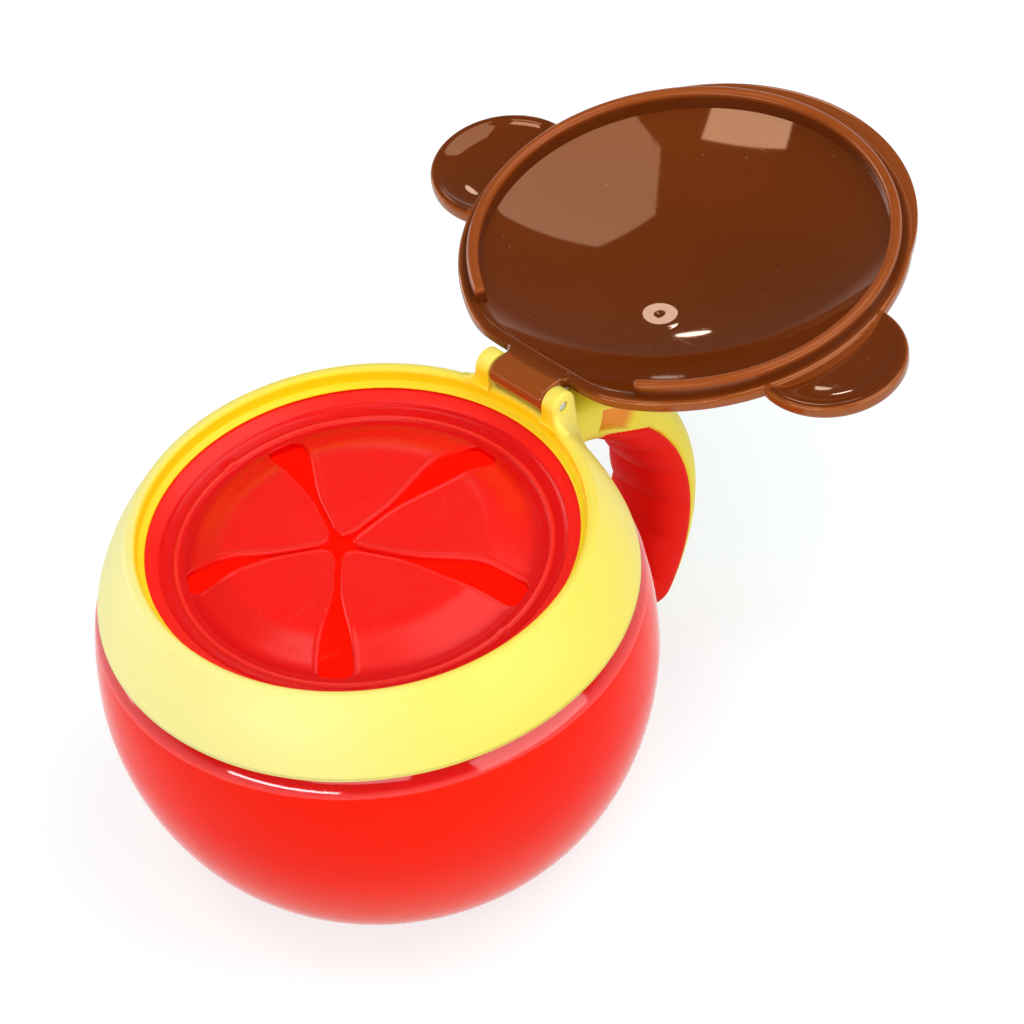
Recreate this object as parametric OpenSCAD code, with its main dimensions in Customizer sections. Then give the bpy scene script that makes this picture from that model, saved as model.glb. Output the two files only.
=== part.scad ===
// Toddler snack container: a round bowl, a screw collar with a side handle and a hinged lid,
// and a soft insert of five flaps that a small hand pushes through.
// Millimetres. The origin is the middle of the flat base, +Z is up, and the hinge and the
// handle lie towards +Y. The lid is drawn fully open, as it stands in use.

/* [Bowl] */
// Widest outer radius of the bowl
bowl_r = 50; // [46:0.5:56]
// Height of the bowl's widest circle
belly_z = 36.9; // [34:0.1:40]
// Radius of the flat base
base_r = 27.5; // [24:0.5:33]
// Wall of the bowl
bowl_wall = 2.2; // [1.6:0.1:3]
// Thickness of the bowl's floor
floor_t = 2.6; // [2:0.1:4]
// Fullness of the curve below the belly (2 is a quarter ellipse)
lower_full = 1.78; // [1.7:0.02:2.1]
// Fullness of the curve above the belly
upper_full = 2.4; // [2.2:0.05:2.7]

/* [Neck and collar] */
// Height of the seam between bowl and collar
seam_z = 53.1; // [51:0.1:55]
// Height of the collar's rim
rim_z = 67.4; // [66.5:0.1:69]
// Radius of the mouth
mouth_r = 39.6; // [38:0.1:40.5]
// Thickness of the rim round the mouth
rim_t = 1.7; // [1.4:0.1:2.4]
// Depth of the mouth down to the insert
mouth_h = 3.5; // [3.2:0.1:4]
// Width of the fine ledge that holds the insert down
ledge_w = 1.15; // [0.8:0.05:1.4]
// Wall of the collar round its bore
collar_wall = 1.9; // [1.6:0.1:2.4]
// Height of the neck above the seam
neck_h = 7.3; // [6:0.1:7.8]
// Wall of the neck
neck_wall = 2.2; // [1.6:0.1:2.8]
// Room for the screw thread between neck and collar
thread_room = 0.9; // [0.6:0.05:1.2]

/* [Soft insert] */
// Thickness of the soft membrane
skin_t = 1.3; // [1:0.1:1.8]
// Width of the insert's outer band, from the ledge to its step
band_w = 2.4; // [2:0.1:3]
// Width from that step to the fine bead
step_w = 2.85; // [2.4:0.05:3.4]
// Width from the bead to the foot of the flaps
moat_w = 1.2; // [0.9:0.1:1.6]
// Width of the flaps' rounded outer shoulder
shoulder_w = 3; // [2:0.1:4]
// Distance of the bending lines inside that shoulder
bend_in = 1.6; // [1:0.1:3]
// Depth of the moat below the insert's edge
moat_drop = 2.1; // [1.6:0.1:2.6]
// Height of the flaps' shoulder above the moat
shoulder_h = 1.5; // [1:0.1:2]
// Rise of each flap's crown above its shoulder
crown_rise = 1.7; // [0.5:0.1:2.2]
// Radius at which the flaps are highest
crown_r = 16; // [14:0.5:19]
// Half the width of a slot near the middle
slot_half = 0.5; // [0.35:0.05:0.8]
// Half the width of the window at a slot's outer end
window_half = 2.8; // [2:0.1:3.4]
// Where each slot starts and ends to widen, from the point where the slots meet
widen = [8, 27];
// The point where the slots meet, across and towards the hinge
star_at = [-1.9, -3.7];
// Depth of the sealing skirt inside the neck
skirt_h = 3; // [2:0.1:4]

/* [Lid] */
// How far the lid's flange reaches past the mouth
flange_over = 1.4; // [1:0.1:1.6]
// Thickness of the lid's flange
flange_t = 2.4; // [2:0.1:3]
// Depth of the lid's dish inside
dish_h = 12; // [9:0.5:15]
// Wall of the lid
lid_wall = 1.8; // [1.4:0.1:2.4]
// Width of the plug lip
lip_w = 2.2; // [1.6:0.1:2.6]
// How far the plug lip reaches into the mouth
lip_h = 2.7; // [2:0.1:3]
// Half the angle left out of the lip at the hinge
lip_gap_deg = 30; // [24:1:36]
// How much smaller the thumb crescent's radius is than the flange's
thumb_less = 3; // [2:0.1:4]
// How far the thumb crescent's middle lies in front of the axis
thumb_shift = 5.7; // [4:0.1:6.5]
// Radius of the two round side tabs
tab_r = 14; // [12:0.1:15]
// Middle of a side tab: how far inside the flange's edge, and towards the hinge
tab_at = [1.2, 5];
// Thickness of a side tab
tab_t = 2.3; // [2:0.1:3]
// Angle to which the lid is open
open_deg = 178.85; // [90:0.05:180]

/* [Hinge] */
// Distance of the hinge pin behind the rim
pin_behind = 0.7; // [0.6:0.1:1.2]
// Radius of the hinge pin
pin_r = 1; // [0.8:0.05:1.2]
// Radius of the lid's barrel
barrel_r = 2.6; // [2.4:0.1:3]
// Half the length of the lid's barrel
barrel_half = 6.4; // [5:0.1:7]
// Radius of a lug's round top
lug_r = 2.9; // [2.6:0.1:3.2]
// Thickness of a lug
lug_t = 3.1; // [2.4:0.1:3.6]
// Length of the knuckle, from the dish's straight ledge to the pin
knuckle_l = 5.8; // [5:0.1:6.5]

/* [Handle] */
// Radius of the handle's middle line
arc_r = 31.4; // [30:0.1:33]
// Height of the middle of that arc
arc_z = 29.3; // [28.5:0.1:31]
// Room for fingers between the bowl's belly and the handle
finger_room = 14.4; // [12:0.1:18]
// Half the width of the handle
grip_hx = 8; // [7:0.1:9]
// Half the thickness of the handle
grip_hv = 6; // [5:0.1:6.5]
// Squareness of the handle's section (2 is an ellipse)
grip_full = 2.5; // [2:0.1:3]
// Angle at which the handle's lower end starts to round off
tip_deg = -43; // [-44:1:-30]
// Angles between which the soft grip lies
grip_deg = [-44, 59];
// Angle at which the grip's flank starts to slope up to its top end
grip_slope_deg = 38; // [30:1:45]
// Spacing of the soft ribs along the grip
rib_pitch = 6.2; // [5:0.1:8]
// Height of the soft ribs
rib_h = 0.9; // [0.4:0.1:1.2]
// Depth of the pocket in each side of the arm
pocket_d = 2.6; // [1.5:0.1:3.5]
// Width of that pocket
pocket_w = 3.9; // [3:0.1:5]
// Angles between which that pocket lies
pocket_deg = [46, 66];

/* [Hidden] */
flaps = 5;

// Clearances
seat = 0.3;        // between pieces of different bodies that rest on each other
turn_gap = 0.2;    // on each side of the barrel
run_fit = 0.05;    // radial, hinge pin in the barrel
press_fit = 0.01;  // radial, hinge pin in the lugs
grip_seat = 0.1;   // soft grip on its frame
lip_fit = 0.4;     // plug lip in the mouth
notch_gap = 0.5;   // lid round the lugs

// The outside of bowl and collar is one globe: two superellipse quarters meet at the belly.
rim_r = mouth_r + rim_t;
function quarter(t, n) = pow(max(0, 1 - pow(t, n)), 1 / n);
up_h = (rim_z - belly_z) / quarter(rim_r / bowl_r, upper_full);
function globe_r(z) = z < belly_z
    ? base_r + (bowl_r - base_r) * quarter((belly_z - z) / belly_z, lower_full)
    : bowl_r * quarter((z - belly_z) / up_h, upper_full);
function inner_r(z) = z < belly_z
    ? base_r + (bowl_r - bowl_wall - base_r)
        * quarter((belly_z - z) / (belly_z - floor_t), lower_full)
    : globe_r(z) - bowl_wall;
function steps(a, b, n) = [for (i = [0 : n]) a + (b - a) * i / n];
function arc_pts(c, r, a0, a1, n) = [for (a = steps(a0, a1, n)) c + r * [cos(a), sin(a)]];

// Heights and radii of the seats under the rim
neck_z = seam_z + neck_h;
mouth_z = rim_z - mouth_h;
bore_z = neck_z + seat;
bore_r = globe_r(bore_z) - collar_wall;
neck_r = bore_r - thread_room;
neck_ri = neck_r - neck_wall;
hook_r = globe_r(mouth_z) - collar_wall - seat;
skirt_r = neck_ri - seat;
ledge_r = mouth_r - ledge_w;

// The insert's rings from the outside inwards, and their heights
step_r = ledge_r - band_w;
bead_r = step_r - step_w;
foot_r = bead_r - moat_w;
shoulder_r = foot_r - shoulder_w;
bend_u = shoulder_r - bend_in;
edge_z = mouth_z - seat;
moat_z = edge_z - moat_drop;

// Hinge
pin_y = rim_r + pin_behind;
pin_z = rim_z + seat + barrel_r;
lug_x = barrel_half + turn_gap;

// Handle: an arc about a line across the object
arc_y = bowl_r + finger_room + grip_hv - arc_r;
root_deg = acos((rim_r + 1.5 - arc_y) / arc_r);
part_r = arc_r + 1;      // parting cylinder between frame and grip
part_drop = 2.9;         // its middle lies this much lower than the arc's
heel_in = 3.7;           // the grip's top end starts this far inside the middle line
function polar(r, a) = r * [cos(a), sin(a)];

// Lid, drawn closed
flange_z = rim_z + seat;
flange_r = mouth_r + flange_over;
thumb_r = flange_r - thumb_less;
tab_x = flange_r - tab_at[0];
dish_in = 0.9;           // the dish's edge lies this far inside the mouth
dish_r = mouth_r - dish_in;
ledge_y = pin_y - knuckle_l;
dome_ri = (dish_r * dish_r + dish_h * dish_h) / (2 * dish_h);
dome_z = flange_z + dish_h - dome_ri;
lip_r = mouth_r - lip_fit;

module at_arc() translate([0, arc_y, arc_z]) rotate([90, 0, 90]) children();

module bowl_profile() {
    shell_top = seam_z - seat;
    polygon(concat(
        [[0, 0]],
        [for (z = steps(0, shell_top, 26)) [globe_r(z), z]],
        [[neck_r, shell_top], [neck_r, neck_z - 0.4], [neck_r - 0.4, neck_z],
         [neck_ri + 0.4, neck_z], [neck_ri, neck_z - 0.4], [neck_ri, shell_top - bowl_wall]],
        [for (z = steps(shell_top - 3 * bowl_wall, floor_t, 24)) [inner_r(z), z]],
        [[0, floor_t]]));
}

module bowl() {
    color("red") rotate_extrude($fn = 180) bowl_profile();
}

// The collar's outside with its rounded rim
module collar_profile() {
    lip_mid = (rim_r + mouth_r) / 2;
    lip_half = (rim_r - mouth_r) / 2;
    polygon(concat(
        [for (z = steps(seam_z, rim_z - lip_half, 12)) [globe_r(z), z]],
        arc_pts([lip_mid, rim_z - lip_half], lip_half, 60, 180, 6),
        [[ledge_r, mouth_z + 1], [ledge_r, seam_z]]));
}

// Everything that the collar has to stay clear of: bowl, neck, insert and mouth
module collar_void() {
    polygon(concat(
        [[0, seam_z - 40]],
        [for (z = steps(seam_z - 40, seam_z - 0.01, 16)) [globe_r(z) + seat, z]],
        [[bore_r, seam_z - 0.01], [bore_r, bore_z], [hook_r + seat, mouth_z],
         [ledge_r, mouth_z], [ledge_r, mouth_z + 0.4], [mouth_r, mouth_z + 0.8],
         [mouth_r, rim_z + 0.1], [0, rim_z + 0.1]]));
}

// Half of the handle's rounded section, X against the distance from the middle line
function section_x(v) = grip_hx * pow(max(0, 1 - pow(abs(v) / grip_hv, grip_full)), 1 / grip_full);
function half_section(n) = [for (a = steps(90, -90, n)) let (v = grip_hv * sin(a)) [v, section_x(v)]];

module handle_section() {
    half = half_section(14);
    translate([arc_r, 0])
        polygon(concat(half, [for (i = [len(half) - 2 : -1 : 1]) [half[i][0], -half[i][1]]]));
}

// The handle's whole form: an arc from inside the collar to a rounded free end
module handle_form() {
    at_arc() {
        rotate([0, 0, tip_deg])
            rotate_extrude(angle = root_deg - tip_deg, $fn = 180) handle_section();
        rotate([0, 0, tip_deg]) translate([arc_r, 0, 0]) rotate([0, 90, 0]) rotate([0, 0, 90])
            rotate_extrude(angle = 180, $fn = 96)
                polygon([for (p = half_section(14)) [p[1], p[0]]]);
    }
}

// Side view of the seat that the soft grip fills, about the arc's middle
module grip_seat_side() {
    far = 2 * arc_r;
    near = arc_r - 2 * grip_hv;
    intersection() {
        translate([0, -part_drop]) circle(r = part_r, $fn = 180);
        polygon([polar(near, grip_deg[1]), polar(arc_r - heel_in, grip_deg[1]),
                 polar(grip_limit(grip_slope_deg), grip_slope_deg), polar(far, grip_slope_deg),
                 polar(far, 0), polar(far, grip_deg[0]), polar(near, grip_deg[0])]);
    }
}

// A pocket in each flank of the arm, deep at the collar and running out along the arm
module arm_pockets() {
    slope = atan(pocket_d / (arc_r * (pocket_deg[1] - pocket_deg[0]) * PI / 180));
    at_arc() for (m = [0, 1]) mirror([0, 0, m]) intersection() {
        rotate([0, 0, pocket_deg[0]])
            rotate_extrude(angle = pocket_deg[1] - pocket_deg[0], $fn = 180)
                translate([arc_r - pocket_w / 2, grip_hx - pocket_d])
                    square([pocket_w, pocket_d + 1]);
        rotate([0, 0, pocket_deg[1]]) translate([arc_r, 0, grip_hx - pocket_d])
            rotate([-slope, 0, 0]) translate([-pocket_w, -arc_r, 0])
                cube([2 * pocket_w, arc_r + 1, 2 * pocket_d]);
    }
}

module lug(side) {
    foot = pin_z - mouth_z + 1;
    translate([side > 0 ? lug_x : -lug_x - lug_t, pin_y, pin_z]) rotate([90, 0, 90])
        linear_extrude(lug_t) {
            circle(r = lug_r, $fn = 72);
            translate([-lug_r, -foot]) square([2 * lug_r, foot]);
        }
}

module collar() {
    color("gold") difference() {
        union() {
            rotate_extrude($fn = 180) collar_profile();
            difference() {
                handle_form();
                at_arc() translate([0, 0, -grip_hx - 1])
                    linear_extrude(2 * grip_hx + 2) grip_seat_side();
                arm_pockets();
            }
            lug(1);
            lug(-1);
        }
        rotate_extrude($fn = 180) collar_void();
        // trough under the barrel
        translate([-lug_x, pin_y, pin_z]) rotate([0, 90, 0])
            cylinder(r = barrel_r + seat, h = 2 * lug_x, $fn = 72);
        translate([-lug_x - lug_t - 1, pin_y, pin_z]) rotate([0, 90, 0])
            cylinder(r = pin_r + press_fit, h = 2 * (lug_x + lug_t + 1), $fn = 48);
    }
}

// Distance from the arc's middle to the seat's outer limit, along the ray at angle a
function part_limit(a) =
    let (s = part_drop * sin(a)) -s + sqrt(part_r * part_r - part_drop * part_drop + s * s);
function slope_limit(a) =
    let (p = polar(arc_r - heel_in, grip_deg[1]),
         q = polar(part_limit(grip_slope_deg), grip_slope_deg),
         d = q - p)
    (p[0] * d[1] - p[1] * d[0]) / (cos(a) * d[1] - sin(a) * d[0]);
function grip_limit(a) = a > grip_slope_deg ? slope_limit(a) : part_limit(a);

// The soft grip: the inner part of the handle's section carried along the arc, with a row of
// soft ribs that are full on the inner face and fade out on the flanks.
grip_a0 = grip_deg[0] + 0.25;
grip_a1 = grip_deg[1] - 0.25;
ribs = floor((grip_a1 - grip_a0) * PI / 180 * (arc_r - grip_hv) / rib_pitch);
grip_stations = 10 * ribs;
grip_sides = 15;
function rib_wave(k) = abs(sin(180 * ribs * k / grip_stations)) - 0.6;
function grip_ring(k) =
    let (a = grip_a0 + (grip_a1 - grip_a0) * k / grip_stations,
         v_out = grip_limit(a) - grip_seat - arc_r)
    [for (j = [0 : grip_sides])
        let (t = 180 * j / grip_sides,
             v = v_out + (-grip_hv - v_out) * sin(t),
             x = section_x(v) * (t < 90 ? 1 : -1),
             full = pow(max(0, (v_out - v) / (v_out + grip_hv)), 2),
             p = (arc_r + v - rib_h * full * rib_wave(k)) * [cos(a), sin(a)])
        [x, arc_y + p[0], arc_z + p[1]]];

module handle_grip() {
    n = grip_sides + 1;
    rings = [for (k = [0 : grip_stations]) grip_ring(k)];
    points = [for (ring = rings) each ring];
    sides = [for (k = [0 : grip_stations - 1], j = [0 : n - 1])
        let (i = (j + 1) % n)
        each [[k * n + j, k * n + i, (k + 1) * n + i],
              [k * n + j, (k + 1) * n + i, (k + 1) * n + j]]];
    first = [for (j = [1 : n - 2]) [0, j + 1, j]];
    last = [for (j = [1 : n - 2]) [for (i = [0, j, j + 1]) grip_stations * n + i]];
    color("crimson") polyhedron(points, concat(sides, first, last), convexity = 6);
}

module hinge_pin() {
    half = lug_x + lug_t - 0.2;
    bevel = 0.2;
    color("silver") translate([0, pin_y, pin_z]) rotate([0, 90, 0]) rotate_extrude($fn = 48)
        polygon([[0, -half], [pin_r - bevel, -half], [pin_r, bevel - half],
                 [pin_r, half - bevel], [pin_r - bevel, half], [0, half]]);
}

// One plug lip, open at the hinge, with a round crest
module lid_lip() {
    crest = lip_w / 2;
    rotate([0, 0, 90 + lip_gap_deg]) rotate_extrude(angle = 360 - 2 * lip_gap_deg, $fn = 180)
        polygon(concat(
            [[lip_r, flange_z + 0.8], [lip_r - lip_w, flange_z + 1.3]],
            arc_pts([lip_r - crest, flange_z - lip_h + crest], crest, 180, 360, 10)));
}

module side_tab(side) {
    lip = 1.6;
    rise = 0.6;
    difference() {
        translate([side * tab_x, tab_at[1], flange_z]) rotate_extrude($fn = 120)
            polygon([[0, rise], [tab_r - lip - rise, rise], [tab_r - lip, 0], [tab_r - rise, 0],
                     [tab_r, rise], [tab_r, tab_t - rise], [tab_r - rise, tab_t],
                     [0, tab_t + rise]]);
        cylinder(r = dish_r + 0.6, h = 2 * rim_z, $fn = 180);
    }
}

module lid_closed() {
    top = flange_z + dish_h + lid_wall;
    edge = 0.8;
    difference() {
        union() {
            difference() {
                union() {
                    intersection() {
                        translate([0, 0, dome_z]) sphere(r = dome_ri + lid_wall, $fn = 180);
                        translate([0, 0, flange_z + 1]) cylinder(r = dish_r + 1, h = dish_h + 5, $fn = 180);
                    }
                    rotate_extrude($fn = 180)
                        polygon([[0, flange_z], [flange_r - edge, flange_z], [flange_r, flange_z + edge],
                                 [flange_r, flange_z + flange_t - edge],
                                 [flange_r - edge, flange_z + flange_t], [0, flange_z + flange_t]]);
                    translate([0, -thumb_shift, flange_z + 0.2]) rotate_extrude($fn = 180)
                        polygon([[0, 0], [thumb_r - edge / 2, 0], [thumb_r, edge / 2],
                                 [thumb_r, flange_t - 1], [thumb_r - edge, flange_t - 0.4],
                                 [0, flange_t - 0.4]]);
                }
                translate([0, 0, dome_z]) sphere(r = dome_ri, $fn = 180);
            }
            lid_lip();
            side_tab(1);
            side_tab(-1);
            // straight ledge that closes the dish at the hinge
            intersection() {
                translate([0, 0, flange_z]) cylinder(r = flange_r - edge, h = flange_t, $fn = 180);
                translate([-flange_r, ledge_y, flange_z]) cube([2 * flange_r, flange_r, flange_t]);
            }
            // knuckle: a block that ends in the barrel
            translate([-barrel_half, pin_y, pin_z]) rotate([90, 0, 90])
                linear_extrude(2 * barrel_half)
                    polygon(concat([[ledge_y - pin_y, flange_z - pin_z]],
                                   arc_pts([0, 0], barrel_r, -90, 90, 16),
                                   [[ledge_y + 1 - pin_y, flange_t - barrel_r + 1.2]]));
        }
        for (side = [-1, 1])
            translate([side > 0 ? barrel_half : -lug_x - lug_t - notch_gap, pin_y, pin_z])
                rotate([0, 90, 0]) rotate([0, 0, 90]) {
                    cylinder(r = lug_r + notch_gap, h = lug_t + turn_gap + notch_gap, $fn = 72);
                    translate([-lug_r - notch_gap, -10, 0])
                        cube([2 * (lug_r + notch_gap), 10, lug_t + turn_gap + notch_gap]);
                }
        translate([-barrel_half - 1, pin_y, pin_z]) rotate([0, 90, 0])
            cylinder(r = pin_r + run_fit, h = 2 * barrel_half + 2, $fn = 48);
    }
}

module lid() {
    color("saddlebrown") translate([0, pin_y, pin_z]) rotate([-open_deg, 0, 0])
        translate([0, -pin_y, -pin_z]) lid_closed();
}

// Top of the soft skin at radius r: each flap has a crown at crown_r, and a rounded shoulder
// that falls into the moat
function skin_z(r) =
    r < shoulder_r
        ? moat_z + shoulder_h
            + crown_rise * pow(max(0, 1 - pow((r - crown_r) / (shoulder_r - crown_r), 2)), 2)
        : moat_z + shoulder_h * (0.5 + 0.5 * cos(180 * min(1, (r - shoulder_r) / shoulder_w)));

// The ring's section: shoulder, moat, bead, step, outer band, clamped flange and skirt
module ring_profile() {
    r_in = bend_u - 1.4;
    seat_z = neck_z + seat;
    polygon(concat(
        [for (r = steps(r_in, foot_r, 12)) [r, skin_z(r)]],
        arc_pts([bead_r, moat_z], 0.5, 180, 0, 6),
        [[step_r - 0.5, edge_z - 1.5], [step_r, edge_z - 1], [ledge_r, edge_z], [hook_r, edge_z],
         [neck_r, seat_z + 0.3], [neck_r, seat_z], [skirt_r, seat_z],
         [skirt_r, neck_z - skirt_h], [skirt_r - skin_t, neck_z - skirt_h],
         [skirt_r - skin_t, seat_z], [step_r + 0.6, edge_z - 1 - skin_t],
         [bead_r + 0.8, moat_z - skin_t]],
        [for (r = steps(foot_r, r_in, 10)) [r, skin_z(r) - skin_t]]));
}

// The opening in the ring: five straight bending lines, cut short where the slots end
module ring_opening() {
    intersection() {
        circle(r = foot_r, $fn = 180);
        rotate(90) circle(r = bend_u / cos(180 / flaps), $fn = flaps);
    }
}

module flap_ring() {
    color("red") difference() {
        rotate_extrude($fn = 180) ring_profile();
        translate([0, 0, moat_z - 5]) linear_extrude(10) ring_opening();
    }
}

// One edge of a flap: the slot's line from the meeting point to its end, moved aside by half
// of the slot's width there. side is 1 for the slot at the flap's start and -1 for its end.
function unit(v) = v / norm(v);
function slot_dir(k) = unit(polar(foot_r, 90 + 360 / flaps * k) - star_at);
function aside(k, side) = let (s = slot_dir(k)) side * [-s[1], s[0]];
function smooth(x) = let (c = max(0, min(1, x))) c * c * (3 - 2 * c);
function gape(d) =
    slot_half + (window_half - slot_half) * smooth((d - widen[0]) / (widen[1] - widen[0]));
function edge_pt(k, side, d) = star_at + slot_dir(k) * d + aside(k, side) * gape(d);
function edge_len(k, side, u) =
    (bend_u - seat - star_at * u - aside(k, side) * u * window_half) / (slot_dir(k) * u);

// A flap is a grid of flap_rows from its round tip to its bending line, each of flap_cols.
flap_rows = 12;
flap_cols = 10;
tip_in = 2.6;
tip_round = 2.2;
function flap_row(k, i) =
    let (m = 90 + 360 / flaps * (k + 0.5),
         u = [cos(m), sin(m)],
         len0 = edge_len(k, 1, u),
         len1 = edge_len(k + 1, -1, u),
         s = i == flap_rows ? 1 : 0.98 * pow(i / (flap_rows - 1), 1.4),
         e0 = edge_pt(k, 1, tip_in + (len0 - tip_in) * s),
         e1 = edge_pt(k + 1, -1, tip_in + (len1 - tip_in) * s),
         x = min(1, s * (len0 + len1) / 2 / tip_round),
         wide = max(0.35, sqrt(1 - (1 - x) * (1 - x))))
    [for (j = [0 : flap_cols])
        let (t = 2 * j / flap_cols - 1) (e0 + e1) / 2 + (e1 - e0) / 2 * t * wide];

module flap(k) {
    n = flap_cols + 1;
    size = (flap_rows + 1) * n;
    plan = [for (i = [0 : flap_rows]) each flap_row(k, i)];
    bevel = 0.42 * skin_t;
    top = [for (q = [0 : size - 1])
        [plan[q][0], plan[q][1], skin_z(norm(plan[q])) - (q >= size - n ? bevel : 0)]];
    low = [for (q = [0 : size - 1])
        [plan[q][0], plan[q][1], skin_z(norm(plan[q])) - skin_t + (q >= size - n ? bevel : 0)]];
    skin = [for (i = [0 : flap_rows - 1], j = [0 : flap_cols - 1])
        let (a = i * n + j)
        each [[a, a + n, a + 1], [a + 1, a + n, a + n + 1],
              [a + size, a + 1 + size, a + n + size],
              [a + 1 + size, a + n + 1 + size, a + n + size]]];
    rim = concat(
        [for (j = [0 : flap_cols - 1]) [j, j + 1]],
        [for (i = [0 : flap_rows - 1]) [i * n + flap_cols, (i + 1) * n + flap_cols]],
        [for (j = [flap_cols : -1 : 1]) [flap_rows * n + j, flap_rows * n + j - 1]],
        [for (i = [flap_rows : -1 : 1]) [i * n, (i - 1) * n]]);
    wall = [for (e = rim)
        each [[e[0], e[1], e[1] + size], [e[0], e[1] + size, e[0] + size]]];
    color("orangered") polyhedron(concat(top, low), concat(skin, wall), convexity = 4);
}

module flap_1() { flap(0); }
module flap_2() { flap(1); }
module flap_3() { flap(2); }
module flap_4() { flap(3); }
module flap_5() { flap(4); }

bowl();
collar();
handle_grip();
hinge_pin();
lid();
flap_ring();
flap_1();
flap_2();
flap_3();
flap_4();
flap_5();
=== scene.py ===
import math

import bmesh
import bpy
import numpy as np
from mathutils import Matrix, Vector


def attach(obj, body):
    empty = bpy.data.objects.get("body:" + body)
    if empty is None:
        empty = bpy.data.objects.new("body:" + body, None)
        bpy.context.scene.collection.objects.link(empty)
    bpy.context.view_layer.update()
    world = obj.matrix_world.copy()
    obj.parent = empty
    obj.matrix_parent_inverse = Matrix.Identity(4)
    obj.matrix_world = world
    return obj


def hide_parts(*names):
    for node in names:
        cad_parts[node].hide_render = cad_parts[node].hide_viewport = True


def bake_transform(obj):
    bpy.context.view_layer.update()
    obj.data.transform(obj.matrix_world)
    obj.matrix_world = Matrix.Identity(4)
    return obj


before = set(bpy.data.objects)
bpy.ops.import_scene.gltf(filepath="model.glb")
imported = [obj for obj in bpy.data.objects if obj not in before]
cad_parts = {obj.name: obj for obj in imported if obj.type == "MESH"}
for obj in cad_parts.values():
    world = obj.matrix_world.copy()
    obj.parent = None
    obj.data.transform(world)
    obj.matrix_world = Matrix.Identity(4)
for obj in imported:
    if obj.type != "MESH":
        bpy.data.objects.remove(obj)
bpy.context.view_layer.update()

# Viewpoint. A long lens looks down on the open cup from its front right, far enough away that
# the rims stay almost true ellipses. All three angles and the distance were fitted to the rims.
focal_px, frame_px, sensor_mm, far_clip = 8000.0, 1024, 36, 60
tilt, roll, turn = 0.7712, 0.1318, math.radians(49.3)
reach = np.array([-20.1907, 50.3499, 1445.5485])


def about_z(a):
    """The matrix that turns the axes by a about Z."""
    return np.array([[math.cos(a), math.sin(a), 0], [-math.sin(a), math.cos(a), 0], [0, 0, 1]])


level = np.array([[1, 0, 0], [0, -math.sin(tilt), -math.cos(tilt)],
                  [0, math.cos(tilt), -math.sin(tilt)]])
look = about_z(roll) @ level @ about_z(turn)
place = -look.T @ reach / 1000
lens = bpy.data.cameras.new("long_lens")
lens.sensor_width, lens.clip_end = sensor_mm, far_clip
lens.lens = focal_px * sensor_mm / frame_px
camera = bpy.data.objects.new("long_lens", lens)
camera.matrix_world = Matrix([[look[0][i], -look[1][i], -look[2][i], place[i]] for i in range(3)]
                             + [[0, 0, 0, 1]])
bpy.context.collection.objects.link(camera)
bpy.context.scene.camera = camera
bpy.context.scene.view_settings.view_transform = "Standard"


# Studio. The cup stands on a sheet of white card between softboxes: a big eight-sided one and an
# oblong one, which the lid's dish mirrors, and low ones that fill the sides. The card and the
# walls are white to the camera alone, so the lamps stay at a plain level.
class Wire:
    """A socket in a node tree. Arithmetic on it adds Math nodes, and node() adds any other."""

    def __init__(self, tree, socket=None):
        self.tree, self.socket = tree, socket

    def node(self, kind, settings=None, sockets=None, out=0):
        """A node of this kind: its settings first, then the value or Wire of each socket."""
        made = self.tree.nodes.new(kind)
        for key, value in (settings or {}).items():
            setattr(made, key, value)
        for key, value in (sockets or {}).items():
            if isinstance(value, Wire):
                value.into(made, key)
            else:
                made.inputs[key].default_value = value
        return Wire(self.tree, made.outputs[out])

    def into(self, shader, key):
        """Links this value to a socket of a node."""
        self.tree.links.new(self.socket, shader.inputs[key])

    def maths(self, operation, *terms):
        """A Math node over numbers and Wires."""
        return self.node("ShaderNodeMath", {"operation": operation}, dict(enumerate(terms)))

    def __add__(self, other):
        return self.maths("ADD", self, other)

    def __sub__(self, other):
        return self.maths("SUBTRACT", self, other)

    def __rsub__(self, other):
        return self.maths("SUBTRACT", other, self)

    def __mul__(self, other):
        return self.maths("MULTIPLY", self, other)

    __radd__, __rmul__ = __add__, __mul__

    def ramp(self, low, high):
        """0 at low and 1 at high, smooth between."""
        return self.node("ShaderNodeMapRange", {"interpolation_type": "SMOOTHSTEP"},
                         {"Value": self, "From Min": low, "From Max": high})

    def tint(self, first, second):
        """A mix of two colours by this value; a colour is three numbers or a Wire."""
        pair = [c if isinstance(c, Wire) else (*c, 1) for c in (first, second)]
        return self.node("ShaderNodeMix", {"data_type": "RGBA"},
                         {0: self, 6: pair[0], 7: pair[1]}, 2)

    def axis(self, n):
        """Part n of a vector."""
        return self.node("ShaderNodeSeparateXYZ", {}, {0: self}, n)

    def noise(self, scale, detail):
        """Clouds of this scale over a place."""
        return self.node("ShaderNodeTexNoise", {},
                         {"Vector": self, "Scale": scale, "Detail": detail})


def backdrop_ray(wire):
    """1 for what the camera sees straight, mirrored or through a clear wall, otherwise 0."""
    path = wire.node("ShaderNodeLightPath").socket.node
    seen = [Wire(wire.tree, path.outputs[n])
            for n in ("Is Camera Ray", "Is Glossy Ray", "Is Transmission Ray")]
    return wire.maths("MAXIMUM", wire.maths("MAXIMUM", seen[0], seen[1]), seen[2])


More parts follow.
